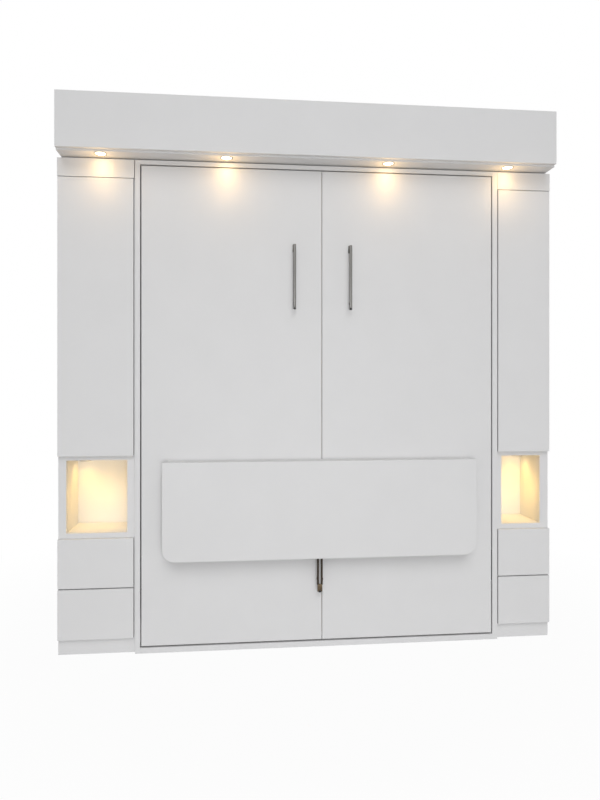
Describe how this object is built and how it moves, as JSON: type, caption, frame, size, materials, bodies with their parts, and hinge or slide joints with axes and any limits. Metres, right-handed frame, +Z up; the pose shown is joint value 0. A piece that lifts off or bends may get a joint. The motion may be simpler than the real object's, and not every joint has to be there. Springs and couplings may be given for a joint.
{
  "type": "wall bed with fold down desk",
  "caption": "Fold-down wall bed in a white cabinet, with a hinged desk leaf and its brace on the bed face, lit pier cabinets with niches and drawers, and a light bridge above.",
  "frame": {"origin": "middle of the footprint of the whole unit, on the floor", "axes": "+Z up, -Y out of the front into the room, +X to the right as one faces the unit"},
  "size_m": [2.245, 0.537, 2.432],
  "materials": {
    "white_laminate": "matt laminated board with 1 mm edging",
    "white_interior": "matt laminated board",
    "birch_ply": "lacquered birch plywood",
    "zinc_steel": "zinc-plated steel",
    "dark_nickel": "brushed dark nickel",
    "antique_bronze": "antique bronze lacquer",
    "black_paint": "black stoved paint",
    "rubber": "moulded rubber",
    "nylon": "moulded nylon",
    "mattress_ticking": "quilted ticking",
    "strap_webbing": "woven webbing",
    "lamp_lens": "frosted lamp lens, lit warm white"
  },
  "bodies": {
    "cabinet": {"bed_side_left": "white_laminate", "bed_side_right": "white_laminate", "bed_top_board": "white_laminate", "bed_bottom_rail": "white_laminate", "back_panels": "white_interior", "pier_side_panels": "white_laminate", "pier_boards": "white_interior", "pier_top_fillers": "white_laminate", "pier_plinths": "white_laminate", "pier_shelves": "white_interior", "left_face_frame": "white_laminate", "right_face_frame": "white_laminate", "left_niche_box": "white_interior", "right_niche_box": "white_interior", "bridge_fascia": "white_laminate", "bridge_soffit": "white_laminate", "bridge_top_and_ends": "white_laminate", "light_rings": "dark_nickel", "light_lenses": "lamp_lens", "door_hinge_arms": "zinc_steel", "drawer_runners": "zinc_steel", "pivot_studs": "zinc_steel", "strut_anchors": "zinc_steel"},
    "left_door": {"left_door": "white_laminate", "left_hinge_cups": "zinc_steel"},
    "right_door": {"right_door": "white_laminate", "right_hinge_cups": "zinc_steel"},
    "left_upper_drawer": {"left_upper_drawer_front": "white_laminate", "left_upper_drawer_box": "birch_ply"},
    "left_lower_drawer": {"left_lower_drawer_front": "white_laminate", "left_lower_drawer_box": "birch_ply"},
    "right_upper_drawer": {"right_upper_drawer_front": "white_laminate", "right_upper_drawer_box": "birch_ply"},
    "right_lower_drawer": {"right_lower_drawer_front": "white_laminate", "right_lower_drawer_box": "birch_ply"},
    "bed": {"bed_face_left": "white_laminate", "bed_face_right": "white_laminate", "bed_frame": "birch_ply", "bed_slats": "birch_ply", "mattress": "mattress_ticking", "mattress_straps": "strap_webbing", "pivot_bushes": "nylon", "leg_brackets": "dark_nickel", "desk_ledge": "white_laminate", "desk_hinge_fixed": "zinc_steel", "brace_rest": "antique_bronze"},
    "left_leg": {"left_leg": "dark_nickel", "left_leg_foot": "rubber"},
    "right_leg": {"right_leg": "dark_nickel", "right_leg_foot": "rubber"},
    "desk": {"desk_leaf": "white_laminate", "desk_hinge_moving": "zinc_steel", "desk_hinge_pin": "zinc_steel", "brace_bracket": "antique_bronze"},
    "brace": {"brace_arm": "antique_bronze", "brace_tip": "rubber"},
    "left_strut_tube": {"left_strut_tube": "black_paint"},
    "left_strut_rod": {"left_strut_rod": "zinc_steel"},
    "right_strut_tube": {"right_strut_tube": "black_paint"},
    "right_strut_rod": {"right_strut_rod": "zinc_steel"}
  },
  "joints": [
    {"name": "bed_fold", "type": "hinge", "parent": "cabinet", "child": "bed", "pos_m": [0.0375, -0.1265, 0.345], "axis": [1, 0, 0], "range_deg": [0, 90]},
    {"name": "left_leg_swing", "type": "hinge", "parent": "bed", "child": "left_leg", "pos_m": [-0.0855, -0.1925, 1.802], "axis": [-1, 0, 0], "range_deg": [0, 90]},
    {"name": "right_leg_swing", "type": "hinge", "parent": "bed", "child": "right_leg", "pos_m": [0.1685, -0.1925, 1.802], "axis": [-1, 0, 0], "range_deg": [0, 90]},
    {"name": "desk_fold", "type": "hinge", "parent": "bed", "child": "desk", "pos_m": [0.0375, -0.225, 0.846], "axis": [-1, 0, 0], "range_deg": [0, 90]},
    {"name": "brace_swing", "type": "hinge", "parent": "desk", "child": "brace", "pos_m": [0.0275, -0.2125, 0.656], "axis": [1, 0, 0], "range_deg": [0, 126]},
    {"name": "left_door_swing", "type": "hinge", "parent": "cabinet", "child": "left_door", "pos_m": [-1.121, -0.1575, 1.484], "axis": [0, 0, -1], "range_deg": [0, 105]},
    {"name": "right_door_swing", "type": "hinge", "parent": "cabinet", "child": "right_door", "pos_m": [1.121, -0.1575, 1.484], "axis": [0, 0, 1], "range_deg": [0, 105]},
    {"name": "left_upper_drawer_slide", "type": "slide", "parent": "cabinet", "child": "left_upper_drawer", "axis": [0, -1, 0], "range_m": [0, 0.28]},
    {"name": "left_lower_drawer_slide", "type": "slide", "parent": "cabinet", "child": "left_lower_drawer", "axis": [0, -1, 0], "range_m": [0, 0.28]},
    {"name": "right_upper_drawer_slide", "type": "slide", "parent": "cabinet", "child": "right_upper_drawer", "axis": [0, -1, 0], "range_m": [0, 0.28]},
    {"name": "right_lower_drawer_slide", "type": "slide", "parent": "cabinet", "child": "right_lower_drawer", "axis": [0, -1, 0], "range_m": [0, 0.28]},
    {"name": "left_strut_swing", "type": "hinge", "parent": "cabinet", "child": "left_strut_tube", "pos_m": [-0.7475, -0.0265, 0.745], "axis": [1, 0, 0], "range_deg": [0, 24]},
    {"name": "left_strut_stroke", "type": "slide", "parent": "left_strut_tube", "child": "left_strut_rod", "axis": [0, 0.1644, 0.9864], "range_m": [0, 0.2]},
    {"name": "right_strut_swing", "type": "hinge", "parent": "cabinet", "child": "right_strut_tube", "pos_m": [0.8225, -0.0265, 0.745], "axis": [1, 0, 0], "range_deg": [0, 24]},
    {"name": "right_strut_stroke", "type": "slide", "parent": "right_strut_tube", "child": "right_strut_rod", "axis": [0, 0.1644, 0.9864], "range_m": [0, 0.2]}
  ],
  "couplings": [
    {"joint": "brace_swing", "follows": "desk_fold", "ratio": 1.3978},
    {"joint": "left_strut_swing", "follows": "bed_fold", "ratio": 0.2611},
    {"joint": "left_strut_stroke", "follows": "bed_fold", "m_per_rad": 0.12476},
    {"joint": "right_strut_swing", "follows": "bed_fold", "ratio": 0.2611},
    {"joint": "right_strut_stroke", "follows": "bed_fold", "m_per_rad": 0.12476}
  ]
}
